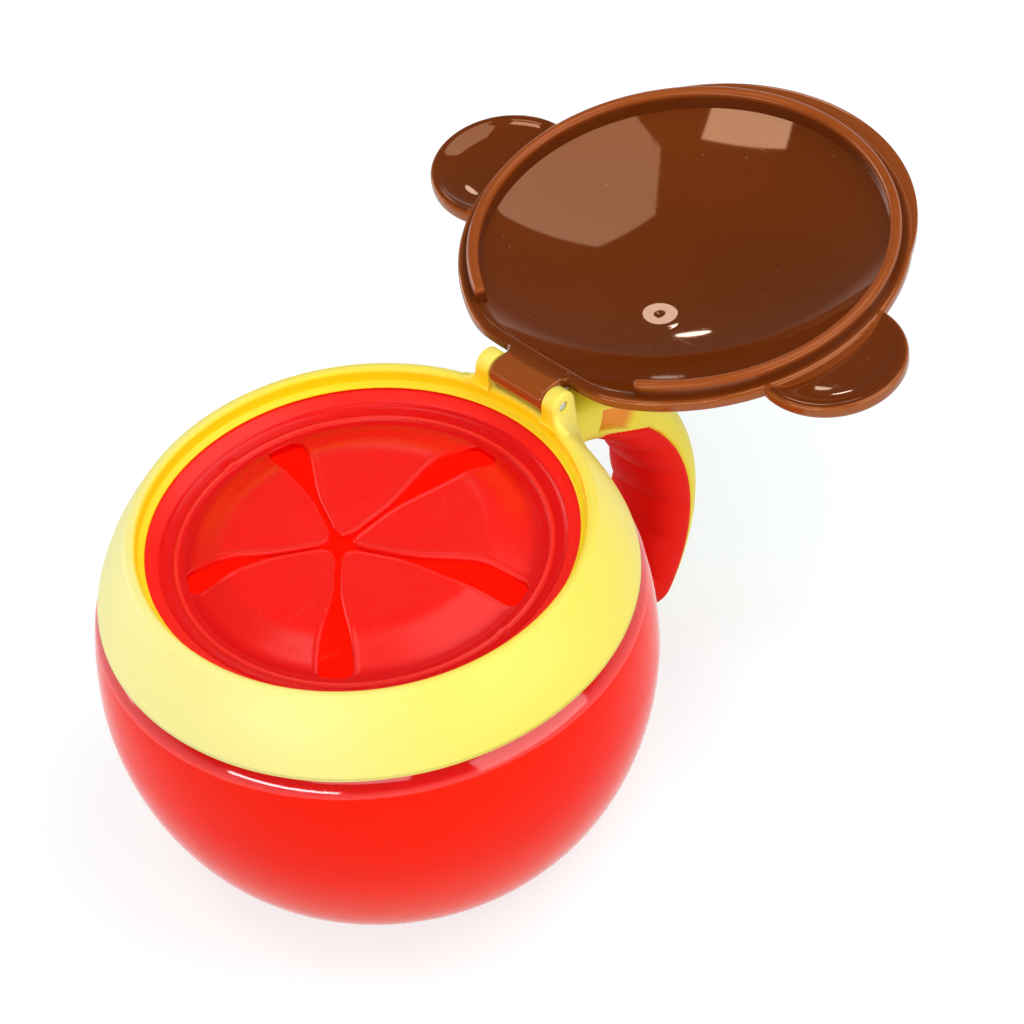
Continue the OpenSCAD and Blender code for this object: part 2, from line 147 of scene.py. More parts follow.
card_half, card_glow = 4.0, 0.67
card = bpy.data.meshes.new("card")
corners = [(x * card_half, y * card_half, 0) for x, y in ((-1, -1), (1, -1), (1, 1), (-1, 1))]
card.from_pydata(corners, [], [(0, 1, 2, 3)])
floor = bpy.data.objects.new("card", card)
bpy.context.collection.objects.link(floor)
paper = bpy.data.materials.new("white_card")
paper.use_nodes = True
wire = Wire(paper.node_tree)
sheet = paper.node_tree.nodes["Principled BSDF"]
sheet.inputs["Roughness"].default_value = 0.9
sheet.inputs["Specular IOR Level"].default_value = 0.1
grain = wire.node("ShaderNodeTexNoise", {}, {"Scale": 60.0, "Detail": 2.0})
seen = backdrop_ray(wire)
plain_card = grain.tint((0.45, 0.45, 0.45), (0.47, 0.47, 0.47))
seen.tint(plain_card, (0.39, 0.47, 0.47)).into(sheet, "Base Color")
glow = wire.node("ShaderNodeEmission", {}, {"Strength": seen * card_glow})
both = wire.node("ShaderNodeAddShader", {}, {0: Wire(wire.tree, sheet.outputs[0]), 1: glow})
both.into(paper.node_tree.nodes["Material Output"], 0)
card.materials.append(paper)

room = bpy.data.worlds.new("studio_room")
bpy.context.scene.world = room
room.use_nodes = True
wire = Wire(room.node_tree)
sky = room.node_tree.nodes["Background"]
walls = 1 - wire.node("ShaderNodeTexCoord").axis(2).ramp(0.02, 0.25) * 0.85
room_light = 0.27
seen = backdrop_ray(wire)
(seen * walls + (1 - seen) * room_light).into(sky, "Strength")
sky.inputs["Color"].default_value = (1, 1, 1, 1)


def softbox(name, toward, far, size, watts, shape="RECTANGLE", spin=0.0):
    """An area lamp that stands `far` metres off in a direction and faces the cup's rim."""
    lamp = bpy.data.lights.new(name, "AREA")
    lamp.shape, lamp.energy = shape, watts
    lamp.size, lamp.size_y = size
    way = Vector(toward).normalized()
    stand = bpy.data.objects.new(name, lamp)
    stand.matrix_world = (Matrix.Translation(way * far + Vector((0, 0.03, 0.07)))
                          @ way.to_track_quat("Z", "Y").to_matrix().to_4x4()
                          @ Matrix.Rotation(spin, 4, "Z"))
    bpy.context.collection.objects.link(stand)
    return lamp


big = softbox("big_softbox", (0.31, 0.40, 0.86), 1.3, (1.22, 1.22), 10.5, spin=-0.25)
big.use_nodes = True
wire = Wire(big.node_tree)
across_lamp = wire.node("ShaderNodeNewGeometry", out=5)
corner = (wire.maths("ABSOLUTE", across_lamp.axis(0) * 2 - 1)
          + wire.maths("ABSOLUTE", across_lamp.axis(1) * 2 - 1))
(1 - corner.ramp(1.45, 1.47)).into(big.node_tree.nodes["Emission"], "Strength")
softbox("oblong_softbox", (-0.19, -0.31, 0.93), 1.4, (0.62, 0.27), 2.8, spin=0.885)
softbox("strip", (-0.66, 0.64, 0.39), 1.2, (0.11, 0.045), 0.20, "ELLIPSE")
softbox("back_spot", (-0.533, 0.625, 0.571), 1.2, (0.10, 0.10), 0.17, "ELLIPSE")
softbox("low_strip", (0.156, -0.974, 0.165), 1.8, (1.3, 0.12), 9.0)
softbox("front_fill", (0.48, -0.66, 0.58), 1.5, (0.9, 0.6), 5.3)
softbox("side_fill", (0.95, 0.20, 0.18), 1.6, (1.4, 0.9), 11.0)
softbox("left_fill", (-0.90, -0.30, 0.12), 1.6, (1.0, 0.5), 6.5)


# Bowl. One moulded piece of clear red plastic: a globe with a flat foot, a straight neck that
# carries the screw thread, and an open top. Its wall is a profile turned about Z. Its inner face
# below the neck glows faintly: painted light for the light that comes through the red walls.
# Its lower part is painted lighter, painted light from the card, and its top under the collar
# darker, painted shade.
bowl_r, belly_z, base_r, wall, floor_t = 50.0, 36.9, 27.5, 2.2, 2.6
lower_full, upper_full = 1.78, 2.4
seam_z, rim_z, mouth_r, rim_t, seat = 53.1, 67.4, 39.6, 1.7, 0.3
rim_r = mouth_r + rim_t


def quarter(t, n):
    """A quarter of a superellipse: (1 - t^n)^(1/n)."""
    return np.maximum(0, 1 - np.power(t, n)) ** (1 / n)


up_h = (rim_z - belly_z) / quarter(rim_r / bowl_r, upper_full)


def globe_r(z):
    """Radius of the cup's globe at height z: a quarter of a superellipse from the foot to the
    fullest circle, at belly_z, and another one from there up to the rim."""
    z = np.asarray(z, float)
    low = quarter(np.clip((belly_z - z) / belly_z, 0, 1), lower_full)
    high = quarter(np.clip((z - belly_z) / up_h, 0, 1), upper_full)
    return np.where(z < belly_z, base_r + (bowl_r - base_r) * low, bowl_r * high)


def cast(name, grid, wrap_u=False, wrap_v=True):
    """A smooth mesh from a grid of points in millimetres, with faces that look outwards.

    Cell (i, j) is the face i,j - i+1,j - i+1,j+1 - i,j+1. Wrapped directions close on
    themselves, points that coincide are welded, and the faces are turned over if the
    enclosed volume, the sum of p0 . (p1 x p2) / 6, comes out negative."""
    grid = np.asarray(grid, float) / 1000
    nu, nv = grid.shape[:2]
    i, j = np.meshgrid(np.arange(nu if wrap_u else nu - 1), np.arange(nv if wrap_v else nv - 1),
                       indexing="ij")
    i2, j2 = (i + 1) % nu, (j + 1) % nv
    cells = [i * nv + j, i2 * nv + j, i2 * nv + j2, i * nv + j2]
    cells = np.stack(cells, -1).reshape(-1, 4)
    p = grid.reshape(-1, 3)
    a, b, c, d = (p[cells[:, k]] for k in range(4))
    volume = np.sum(a * np.cross(b, c) + a * np.cross(c, d))
    mesh = bpy.data.meshes.new(name)
    mesh.from_pydata(p, [], cells if volume > 0 else cells[:, ::-1])
    weld = bmesh.new()
    weld.from_mesh(mesh)
    bmesh.ops.remove_doubles(weld, verts=weld.verts, dist=2e-6)
    weld.to_mesh(mesh)
    weld.free()
    mesh.polygons.foreach_set("use_smooth", np.ones(len(mesh.polygons), bool))
    piece = bpy.data.objects.new(name, mesh)
    bpy.context.collection.objects.link(piece)
    return piece


def fit(piece, finish, body, slot, *nodes):
    """Gives a piece its finish, sets it on its body and lets it stand for its solid."""
    piece.data.materials.append(finish)
    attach(piece, body)
    if nodes:
        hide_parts(*nodes)


def eased(corners, n=5):
    """A line through (r, z, ease) corners, each cut off `ease` before and after it by the
    parabola (1-t)^2 A + 2 t (1-t) P + t^2 B."""
    corners = [tuple(c) + (0,) * (3 - len(c)) for c in corners]
    p = np.array([c[:2] for c in corners], float)
    t = np.linspace(0, 1, n + 1)[:, None]
    line = []
    for k, (_, _, ease) in enumerate(corners):
        if ease == 0 or k in (0, len(corners) - 1):
            line.append(p[k:k + 1])
            continue
        ends = [p[k] + (q - p[k]) * min(0.5, ease / np.linalg.norm(q - p[k]))
                for q in (p[k - 1], p[k + 1])]
        line.append((1 - t) ** 2 * ends[0] + 2 * t * (1 - t) * p[k] + t ** 2 * ends[1])
    return np.concatenate(line)


def turned(profile, steps=240):
    """A profile of (radius, height) turned about Z: x = r cos a, y = r sin a, z = h."""
    a = np.linspace(0, 2 * math.pi, steps, endpoint=False)[:, None]
    r, h = profile[:, 0][None], profile[:, 1][None]
    return np.stack([r * np.cos(a), r * np.sin(a), h + 0 * a], -1)


def low_wall(depth, swell, count):
    """The globe below its belly in even steps s of a quarter turn: out from the foot by
    swell (sin s)^(2/n), down from the belly by depth (cos s)^(2/n)."""
    s = np.linspace(0, math.pi / 2, count)
    down, out = depth * np.cos(s) ** (2 / lower_full), swell * np.sin(s) ** (2 / lower_full)
    return np.column_stack([base_r + out, belly_z - down])


neck_z, clamp_z, shell_z = 60.4, 60.7, seam_z - seat
tuck_z, tuck_in = 49.7, 1.15
bore_r = float(globe_r(clamp_z)) - 1.9
neck_r = bore_r - 0.9
neck_ri = neck_r - 2.2
outer_low = low_wall(belly_z, bowl_r - base_r, 40)
heights = np.concatenate([np.linspace(belly_z, tuck_z - 0.1, 18)[1:],
                          np.linspace(tuck_z + 0.1, shell_z, 14)])
tuck = tuck_in * np.clip((heights - tuck_z) / (shell_z - tuck_z), 0, 1) ** 1.5
outer_up = np.column_stack([globe_r(heights) - tuck, heights])
neck_line = eased([(neck_r + 0.9, shell_z + 0.1, 0.4), (neck_r, shell_z + 0.1, 0.4),
                   (neck_r, neck_z, 0.5), (neck_ri, neck_z, 0.5), (neck_ri, shell_z - 2.2)])
heights = np.linspace(shell_z - 5, belly_z, 14)
inner_up = np.column_stack([globe_r(heights) - wall, heights])
inner_low = low_wall(belly_z - floor_t, bowl_r - wall - base_r, 36)[::-1][1:]
foot = eased([(0, 0.9), (22.5, 0.9, 0.6), (23.6, 0, 0.6), (base_r - 0.2, 0)])
bowl_line = np.concatenate([foot, outer_low[1:], outer_up, neck_line, inner_up, inner_low,
                            [[0, floor_t]]])


def start_finish(name, steady):
    """A new material, its Principled shader and its Object coordinates. What is the same all
    over is set on the shader's own sockets."""
    finish = bpy.data.materials.new(name)
    finish.use_nodes = True
    shader = finish.node_tree.nodes["Principled BSDF"]
    for key, value in steady.items():
        shader.inputs[key].default_value = value
    return finish, shader, Wire(finish.node_tree).node("ShaderNodeTexCoord", out=3)


def dented(shader, height, strength, deep):
    """Presses a height pattern into a shader's normal, `deep` metres at full strength."""
    height.node("ShaderNodeBump", {}, {"Strength": strength, "Distance": deep, "Height": height}
                ).into(shader, "Normal")


def points_mm(piece):
    """A piece's vertices in millimetres, one row each."""
    spots = np.zeros(len(piece.data.vertices) * 3)
    piece.data.vertices.foreach_get("co", spots)
    return spots.reshape(-1, 3) * 1000


def paint(piece, name, values):
    """Keeps one number a vertex, which the piece's material reads by its name."""
    layer = piece.data.attributes.new(name, "FLOAT", "POINT")
    layer.data.foreach_set("value", values.astype(np.float32))


clear_red, gloss, here = start_finish("clear_red_plastic", {
    "Specular IOR Level": 0.07, "Subsurface Weight": 1.0, "Subsurface Radius": (1.0, 0.06, 0.02),
    "Subsurface Scale": 0.006, "Emission Strength": 0.33})
up = here.axis(2)
body_red = here.noise(35.0, 3.0).tint((0.93, 0.010, 0.001), (0.98, 0.016, 0.002))
# The lower bowl is painted lighter and more orange: painted light from the white card below.
red_with_painted_foot_light = up.ramp(0.004, 0.034).tint((1.0, 0.060, 0.018), body_red)
# Above the tuck the red is painted darker: painted shade under the collar.
up.ramp(0.0492, 0.0512).tint(red_with_painted_foot_light, (0.70, 0.004, 0.002)).into(gloss, "Base Color")
(0.07 + here.noise(900.0, 2.0).ramp(0.62, 0.8) * 0.18).into(gloss, "Roughness")
dented(gloss, here.noise(55.0, 1.0), 0.05, 0.0004)
# The inner face glows faintly red: painted light for the light that comes through the walls.
painted_inner_glow = here.node("ShaderNodeAttribute", {"attribute_name": "painted_inner_glow"}, {}, 2)
painted_inner_glow.tint((0, 0, 0), (1.0, 0.016, 0.002)).into(gloss, "Emission Color")

bowl = cast("bowl_shell", turned(bowl_line, 288), wrap_u=True, wrap_v=False)
spots = points_mm(bowl)
# Inner faces below the neck carry the painted glow.
within = (np.hypot(spots[:, 0], spots[:, 1]) < globe_r(spots[:, 2]) - 1.6) & (spots[:, 2] > 1.5)
paint(bowl, "painted_inner_glow", within * np.clip((51 - spots[:, 2]) / 6, 0, 1))
fit(bowl, clear_red, "bowl", "bowl_plastic", "bowl")

bright_red = clear_red.copy()
bright_red.name = "clear_red_shoulder"
bright_red.node_tree.nodes["Principled BSDF"].inputs["Specular IOR Level"].default_value = 0.6
bowl.data.materials.append(bright_red)
middles = np.zeros(len(bowl.data.polygons) * 3)
bowl.data.polygons.foreach_get("center", middles)
middles = middles.reshape(-1, 3) * 1000
shoulder = (middles[:, 2] > 49.3) & (np.hypot(middles[:, 0], middles[:, 1]) > 43.5)
bowl.data.polygons.foreach_set("material_index", shoulder.astype(np.int32))


# Screw thread. Three low ridges are moulded on the neck. Each climbs along a helix and fades
# into the neck at its ends. A rounded bump is carried along the helix.
thread_lead, thread_sweep, thread_h, thread_z = 12.0, math.radians(150), 0.55, 54.2
thread_climb = thread_lead * thread_sweep / (2 * math.pi) * 0.95


def capped(loops):
    """A grid of loops, closed at each end by a loop drawn together at its middle."""
    first, last = loops[:1], loops[-1:]
    return np.concatenate([first.mean(1, keepdims=True) + 0 * first, loops,
                           last.mean(1, keepdims=True) + 0 * last])


climb = np.linspace(0, 1, 90)[:, None]
fade = np.clip(np.minimum(climb, 1 - climb) / 0.12, 0, 1) ** 0.5
bump = eased([(0, -1.1), (0, -0.8, 0.2), (1, -0.25, 0.25), (1, 0.25, 0.25), (0, 0.8, 0.2),
              (0, 1.1)])
for start in range(3):
    angle = climb * thread_sweep + start * 2 * math.pi / 3
    ridge_r = neck_r - 0.2 + bump[None, :, 0] * (thread_h + 0.2) * fade
    ridge_z = thread_z + climb * thread_climb + bump[:, 1][None]
    root_r = np.full_like(ridge_r, neck_r - 0.9)
    loop_r = np.concatenate([ridge_r, root_r[:, :1], root_r[:, :1]], 1)
    loop_z = np.concatenate([ridge_z, ridge_z[:, -1:], ridge_z[:, :1]], 1)
    ridge = np.stack([loop_r * np.cos(angle), loop_r * np.sin(angle), loop_z], -1)
    fit(cast(f"neck_thread_{start + 1}", capped(ridge)), clear_red, "bowl", "bowl_plastic")


# Collar. A screw ring of matte yellow plastic carries on the bowl's globe to a broad round rim.
# Inside it a fine ledge holds the soft insert down, and the bore below fits over the neck.
mouth_z, ledge_r = 63.9, 38.45
heights = np.linspace(seam_z + 0.35, rim_z - 1.6, 26)
flank = np.column_stack([globe_r(heights), heights])
flank[:, 0] -= 0.25 * np.clip(1 - (heights - seam_z) / 0.7, 0, 1) ** 2
crown = eased([(flank[-1, 0], rim_z - 1.6), (rim_r + 0.35, rim_z - 0.05, 1.5),
               (mouth_r + 0.15, rim_z - 0.05, 0.95), (mouth_r, mouth_z + 0.9)], 9)
hem_r = float(globe_r(seam_z))
inside = eased([(mouth_r, mouth_z + 0.9), (mouth_r, mouth_z + 0.75, 0.25),
                (ledge_r + 0.1, mouth_z + 0.4, 0.12), (ledge_r, mouth_z + 0.2, 0.12),
                (ledge_r, mouth_z, 0.12), (ledge_r + 0.6, mouth_z), (41.86, mouth_z, 0.2),
                (bore_r, clamp_z, 0.4), (bore_r, seam_z + 0.3, 0.3), (bore_r + 0.4, seam_z, 0.3),
                (hem_r - 0.7, seam_z), (hem_r - 0.1, seam_z, 0.3), (hem_r - 0.25, seam_z + 0.35)])
collar_line = np.concatenate([flank, crown[1:-1], inside])


def from_axis(here):
    """Distance of a place to the Z axis."""
    level_part = here.node("ShaderNodeVectorMath", {"operation": "MULTIPLY"},
                           {0: here, 1: (1, 1, 0)})
    return here.node("ShaderNodeVectorMath", {"operation": "LENGTH"}, {0: level_part}, 1)


matte_yellow, satin, here = start_finish("matte_yellow_plastic", {
    "Specular IOR Level": 0.5, "Subsurface Weight": 0.15, "Subsurface Radius": (1.0, 0.7, 0.15),
    "Subsurface Scale": 0.002})
cloud = here.noise(40.0, 3.0)
# The front of the ring is painted paler: a painted sheen where the front lamps fall.
from_front = here.node("ShaderNodeVectorMath", {"operation": "DOT_PRODUCT"},
                       {0: here, 1: (0.35, 0.94, 0)}, 1)
painted_front_sheen = from_front.ramp(-0.05, 0.012).tint(
    (0.97, 0.88, 0.31), cloud.tint((0.92, 0.75, 0.09), (0.94, 0.78, 0.11)))
# Inside the mouth the yellow is painted deeper: painted shade on the mouth's wall.
mouth_painted_shade = (1 - from_axis(here).ramp(0.0396, 0.0408)) * here.axis(2).ramp(0.060, 0.0625)
# The handle's arm is painted a deeper yellow: painted shade under the open lid.
arm_painted_shade = here.axis(1).ramp(0.0445, 0.0475)
yellow_painted_light_and_shade = arm_painted_shade.tint(mouth_painted_shade.tint(painted_front_sheen, (1.0, 0.72, 0.0)), (1.0, 0.83, 0.03))
# The pockets' floors are painted orange: painted shade in the recess.
pocket_painted_shade = here.node("ShaderNodeAttribute", {"attribute_name": "pocket_painted_shade"}, {}, 2)
pocket_painted_shade.tint(yellow_painted_light_and_shade, (0.90, 0.30, 0.0)).into(satin, "Base Color")
(0.36 + cloud * 0.1).into(satin, "Roughness")
dented(satin, here.noise(2600.0, 2.0), 0.12, 0.0001)
fit(cast("collar_ring", turned(collar_line, 288), wrap_u=True), matte_yellow, "collar",
    "collar_plastic", "collar")


# Hinge lugs. Two ears rise from the collar's rim, moulded with it, and hold the pin. Each is a
# plate with a bore: rings run from the bore over its face and edge, and its foot spreads out.
pin_y, pin_z, pin_r, bored_r = 42.0, 70.3, 1.0, 1.03
lug_x, lug_t, lug_r, lug_edge, spread = 6.6, 3.1, 2.9, 0.55, 3.2
lug_foot_z, bore_edge, face_r, face_rings = 57.5, 0.14, 1.3, 34
spoke = np.linspace(0, 2 * math.pi, 168, endpoint=False)[:, None]
sideways, downwards = np.abs(np.cos(spoke)), np.maximum(-np.sin(spoke), 1e-6)
straight_r = np.minimum(lug_r / np.maximum(sideways, 1e-6), (pin_z - lug_foot_z) / downwards)
edge_r = np.where(np.sin(spoke) > 0, lug_r, straight_r)
half_t, face = lug_t / 2, np.linspace(0, 1, face_rings)[None]
bevel = np.linspace(0, math.pi / 2, 6)[None, 1:]
flat_r = edge_r - lug_edge
section = np.concatenate([
    bored_r + np.zeros((1, 4)) + 0 * edge_r,
    bored_r + bore_edge * np.array([[0.3, 1.0]]) + 0 * edge_r,
    face_r + (flat_r - face_r) * face, flat_r + lug_edge * np.sin(bevel),
    flat_r + lug_edge * np.cos(bevel), face_r + (flat_r - face_r) * face[:, ::-1],
    bored_r + bore_edge * np.array([[1.0, 0.3]]) + 0 * edge_r], 1)
depth = np.concatenate([
    np.linspace(-half_t + 0.2, half_t - 0.2, 4), [half_t - 0.06, half_t],
    np.full(face_rings, half_t), half_t - lug_edge + lug_edge * np.cos(bevel[0]),
    -half_t + lug_edge - lug_edge * np.sin(bevel[0]),
    np.full(face_rings, -half_t), [-half_t, -half_t + 0.06]])[None]


def over_shoulder(x, y, z):
    """Height of a point above the globe, from its distance to the axis."""
    r = np.hypot(x, y)
    level_z = belly_z + up_h * quarter(np.clip(r / bowl_r, 0, 1), upper_full)
    return z - np.where(r < rim_r, rim_z, level_z)


def corner_drop(x):
    """How far a rounded corner of radius 1 lies in at distance x from its edge:
    1 - sqrt(1 - (1 - x)^2), and nothing past 1."""
    return 1 - np.sqrt(1 - (1 - np.clip(x, 0, 1)) ** 2)


for side in (-1, 1):
    x = side * (lug_x + half_t) + side * depth + 0 * section
    y = pin_y + section * np.cos(spoke)
    z = pin_z + section * np.sin(spoke)
    flare = spread * corner_drop(over_shoulder(x, y, z) / spread) * (z < pin_z)
    clear = np.hypot(x, y) - globe_r(z)
    x = x + side * np.clip(depth / half_t, -0.12, 1) * flare
    y = y + np.clip((y - pin_y) / lug_r, -1, 1) * flare * np.where(y < pin_y, 0.25, 0.5)
    most_r = np.where(z < rim_z - 0.4, globe_r(z) + np.maximum(clear, -0.6), 99)
    least_r = np.where(z < rim_z - 0.3, mouth_r + 0.4, 0)
    pull = np.maximum(np.minimum(1, most_r / np.hypot(x, y)), least_r / np.hypot(x, y))
    lug = cast("lug_right" if side > 0 else "lug_left", np.stack([x * pull, y * pull, z], -1),
               wrap_u=True)
    fit(lug, matte_yellow, "collar", "collar_plastic", "collar")


# Handle frame. An arm of the same yellow plastic leaves the collar behind the hinge and bends
# down to a free round end. A rounded section is carried along an arc, and it sinks by a seat's
# depth where the soft grip lies. A pocket in each flank saves plastic near the collar.
arc_y, arc_z, arc_r = 39.0, 29.3, 31.4
grip_hx, grip_hv, grip_full = 8.0, 6.0, 2.5
tip_a, root_a = math.radians(-43), math.radians(86)
grip_a = (math.radians(-44), math.radians(59))
slope_a = math.radians(38)
part_r, part_drop, heel_in = arc_r + 1, 2.9, 3.7


def part_line(a):
    """Where grip and frame meet, from the arc's middle: a circle set lower than the arc, then
    above slope_a a straight line to the grip's top end."""
    s = part_drop * np.sin(a)
    circle = -s + np.sqrt(part_r ** 2 - part_drop ** 2 + s ** 2)
    sp = part_drop * math.sin(slope_a)
    q_r = -sp + math.sqrt(part_r ** 2 - part_drop ** 2 + sp ** 2)
    p = (arc_r - heel_in) * np.array([math.cos(grip_a[1]), math.sin(grip_a[1])])
    d = q_r * np.array([math.cos(slope_a), math.sin(slope_a)]) - p
    line = (p[0] * d[1] - p[1] * d[0]) / (np.cos(a) * d[1] - np.sin(a) * d[0])
    return np.where(a > slope_a, line, circle)


def soft_step(x):
    """0 up to x = 0 and 1 from x = 1, smooth between: x^2 (3 - 2x)."""
    x = np.clip(x, 0, 1)
    return x * x * (3 - 2 * x)


def along_arc(w, v, a):
    """Section points w across and v out from the arc, carried to angle a."""
    radius = arc_r + v
    return np.stack([w, arc_y + radius * np.cos(a), arc_z + radius * np.sin(a)], -1)


around = np.linspace(0, 2 * math.pi, 121)[:-1]
fine_a = math.radians(44), math.radians(69)
bend = np.concatenate([np.linspace(tip_a, fine_a[0], 130), np.linspace(*fine_a, 150)[1:],
                       np.linspace(fine_a[1], root_a, 20)[1:]])[:, None]
# The section is a superellipse: w = hx cos^(2/n), v = hv sin^(2/n), with their signs kept.
power = 2 / grip_full
v = grip_hv * np.sign(np.sin(around)) * np.abs(np.sin(around)) ** power + 0 * bend
w = grip_hx * np.sign(np.cos(around)) * np.abs(np.cos(around)) ** power + 0 * bend
below = part_line(bend) - arc_r - v
sunk = soft_step(below / 0.5 + 0.5) * soft_step((grip_a[1] - bend) / math.radians(1.2))
seat_v, seat_w = 0.18, 0.12
v, w = v * (1 - seat_v * sunk), w * (1 - seat_w * sunk)
pocket_hv, pocket_deep, pocket_edge = 2.2, 2.6, 0.5
pocket_a, pocket_low_a, pocket_end = math.radians(66), math.radians(45), math.radians(0.9)
pocket = (soft_step((pocket_a - bend) / pocket_end)
          * np.clip((bend - pocket_low_a) / (pocket_a - pocket_low_a), 0, 1)
          * soft_step((pocket_hv - np.abs(v)) / pocket_edge))
w = w - np.sign(w) * pocket_deep * pocket * (np.abs(w) > grip_hx / 2)
arm = along_arc(w, v, bend)
dome = np.linspace(math.pi / 2, 0, 16)[:-1, None]
middle = np.array([0, arc_y + arc_r * math.cos(tip_a), arc_z + arc_r * math.sin(tip_a)])
ahead = grip_hv * np.array([0, math.sin(tip_a), -math.cos(tip_a)])
cap = middle + (arm[:1] - middle) * np.cos(dome)[..., None] + ahead * np.sin(dome)[..., None]
arm = capped(np.concatenate([middle + ahead + 0 * cap[:1], cap[1:], arm]))[1:]
frame_arm = cast("handle_arm", arm)
spots = points_mm(frame_arm)
tall, back = spots[:, 2] - arc_z, spots[:, 1] - arc_y
bend, off = np.arctan2(tall, back), np.hypot(tall, back) - arc_r
# How much painted shade each vertex of the pockets gets.
pocket_shade_amount = (soft_step((pocket_a - bend) / pocket_end)
          * soft_step((bend - pocket_low_a - math.radians(2)) / math.radians(5))
          * soft_step((pocket_hv + 0.1 - np.abs(off)) / pocket_edge)
          * (np.abs(spots[:, 0]) < grip_hx - 0.2) * (np.abs(spots[:, 0]) > 3))
paint(frame_arm, "pocket_painted_shade", pocket_shade_amount)
fit(frame_arm, matte_yellow, "collar", "collar_plastic", "collar")


# Soft grip. Red rubber is moulded over the handle's inner side and wraps its flanks. A row of
# finger ribs crosses the inner face and runs out on the flanks in slanting folds.
rib_pitch, rib_h, rib_out, proud, slant = 6.2, 0.9, 0.35, 0.02, 0.55
grip_rows, past_tip, inset_a, end_rows, end_in = 270, 0.176, 0.004, 5, 0.10
inner_r = arc_r - grip_hv
along = np.linspace(tip_a - past_tip, grip_a[1] - inset_a, grip_rows)[:, None]
ribs = math.floor((grip_a[1] - grip_a[0] - 2 * inset_a) * inner_r / rib_pitch)
# The skin goes from the part line on one flank (full = 0) over the inner face (full = 1) to
# the part line on the other, and its back is flat.
cut = part_line(along) - 0.08 - arc_r
t = np.linspace(0, math.pi, 64)[None]
v = cut + (-grip_hv - cut) * np.sin(t)
w = grip_hx * np.clip(1 - np.abs(v / grip_hv) ** grip_full, 0, 1) ** (1 / grip_full)
w = w * np.sign(math.pi / 2 - t)
full = np.clip((cut - v) / (cut + grip_hv), 0, 1)
narrow = np.sqrt(1 - np.clip((tip_a - along) * arc_r / grip_hv, 0, 0.95) ** 2)
v, w = v * narrow, w * narrow
lean = slant * (1 - full) * rib_pitch / inner_r
phase = (along + lean - along[0]) / (along[-1] - along[0])
wave = np.abs(np.sin(math.pi * ribs * phase)) ** 0.8 - 0.6
lift = 1 + proud * soft_step(full / 0.12)
w = w * lift + np.sign(w) * rib_out * wave * soft_step(full / 0.5) * (1 - full)
fold = along_arc(w, v * lift - rib_h * full ** 1.3 * wave, along)
flat_back = np.linspace(0, 1, 8)[1:-1][None, :, None]
back = fold[:, :1] * (1 - flat_back) + fold[:, -1:] * flat_back
loop = np.concatenate([fold, back[:, ::-1]], 1)
centre = loop.mean(1, keepdims=True)
from_end = np.minimum(np.arange(grip_rows), np.arange(grip_rows)[::-1])
rounded = 1 - end_in * corner_drop(from_end / end_rows)
loop = centre + (loop - centre) * rounded[:, None, None]

grip_red, rubber, here = start_finish("soft_red_grip", {
    "Specular IOR Level": 0.12, "Subsurface Weight": 0.15,
    "Subsurface Radius": (1.0, 0.12, 0.08), "Subsurface Scale": 0.002})
cloud = here.noise(60.0, 4.0)
cloud.tint((0.95, 0.006, 0.002), (1.0, 0.014, 0.005)).into(rubber, "Base Color")
(0.5 + cloud * 0.15).into(rubber, "Roughness")
dented(rubber, here.noise(1800.0, 3.0), 0.25, 0.00015)
fit(cast("handle_grip_rubber", capped(loop)), grip_red, "collar", "grip_rubber", "handle_grip")


# Hinge pin. A drawn steel wire is pressed through both lugs and ends just inside them, with
# slightly domed, bevelled ends. Its profile is turned about its own length along X.
half_pin = lug_x + lug_t - 0.35
pin_end = [(pin_r, -0.22, 0.08), (0.86, -0.04, 0.1), (0.55, 0.03, 0.2), (0, 0.06)]
pin_line = eased([(r, -half_pin - x, *e) for r, x, *e in pin_end[::-1]]
                 + [(r, half_pin + x, *e) for r, x, *e in pin_end])
wire_pin = turned(pin_line, 48)
wire_pin = np.stack([wire_pin[..., 2], pin_y + wire_pin[..., 0], pin_z + wire_pin[..., 1]], -1)
steel, metal, here = start_finish("drawn_steel", {"Metallic": 1.0})
drawn = here.node("ShaderNodeMapping", {}, {"Vector": here, "Scale": (300, 6000, 6000)})
lines = drawn.noise(1.0, 3.0)
lines.tint((0.42, 0.41, 0.38), (0.66, 0.65, 0.62)).into(metal, "Base Color")
(0.28 + lines * 0.2).into(metal, "Roughness")
fit(cast("hinge_wire", wire_pin, wrap_u=True, wrap_v=False), steel, "collar", "pin_steel",
    "hinge_pin")


